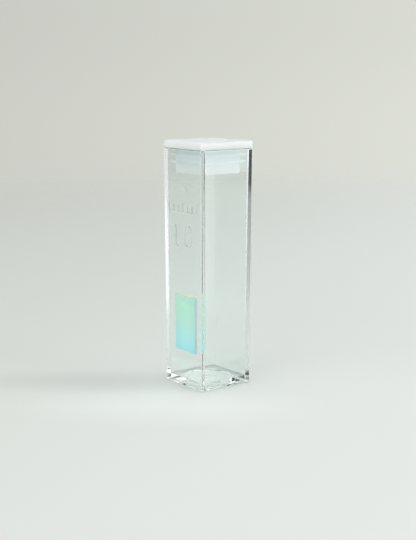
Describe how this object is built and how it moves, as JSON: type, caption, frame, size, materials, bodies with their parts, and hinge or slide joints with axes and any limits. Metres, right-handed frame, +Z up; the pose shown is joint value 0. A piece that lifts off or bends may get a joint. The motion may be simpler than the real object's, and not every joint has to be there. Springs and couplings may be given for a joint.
{
  "type": "cuvette",
  "caption": "Square clear plastic cuvette with a white push-in cap and a small iridescent sensor chip bonded inside one wall.",
  "frame": {"origin": "middle of the foot, on the surface that the cuvette stands on", "axes": "+Z up towards the cap, -Y out of the face that carries the raised marks and the chip"},
  "size_m": [0.0122, 0.0122, 0.047],
  "materials": {
    "clear_plastic": "clear polished polystyrene",
    "white_plastic": "translucent white polyethylene",
    "coated_chip": "iridescent thin film on a small chip"
  },
  "bodies": {
    "cuvette": {"body": "clear_plastic", "chip": "coated_chip"},
    "cap": {"cap": "white_plastic"}
  },
  "joints": [
    {"name": "cap_lift", "type": "slide", "parent": "cuvette", "child": "cap", "axis": [0, 0, 1], "range_m": [0, 0.02]}
  ]
}
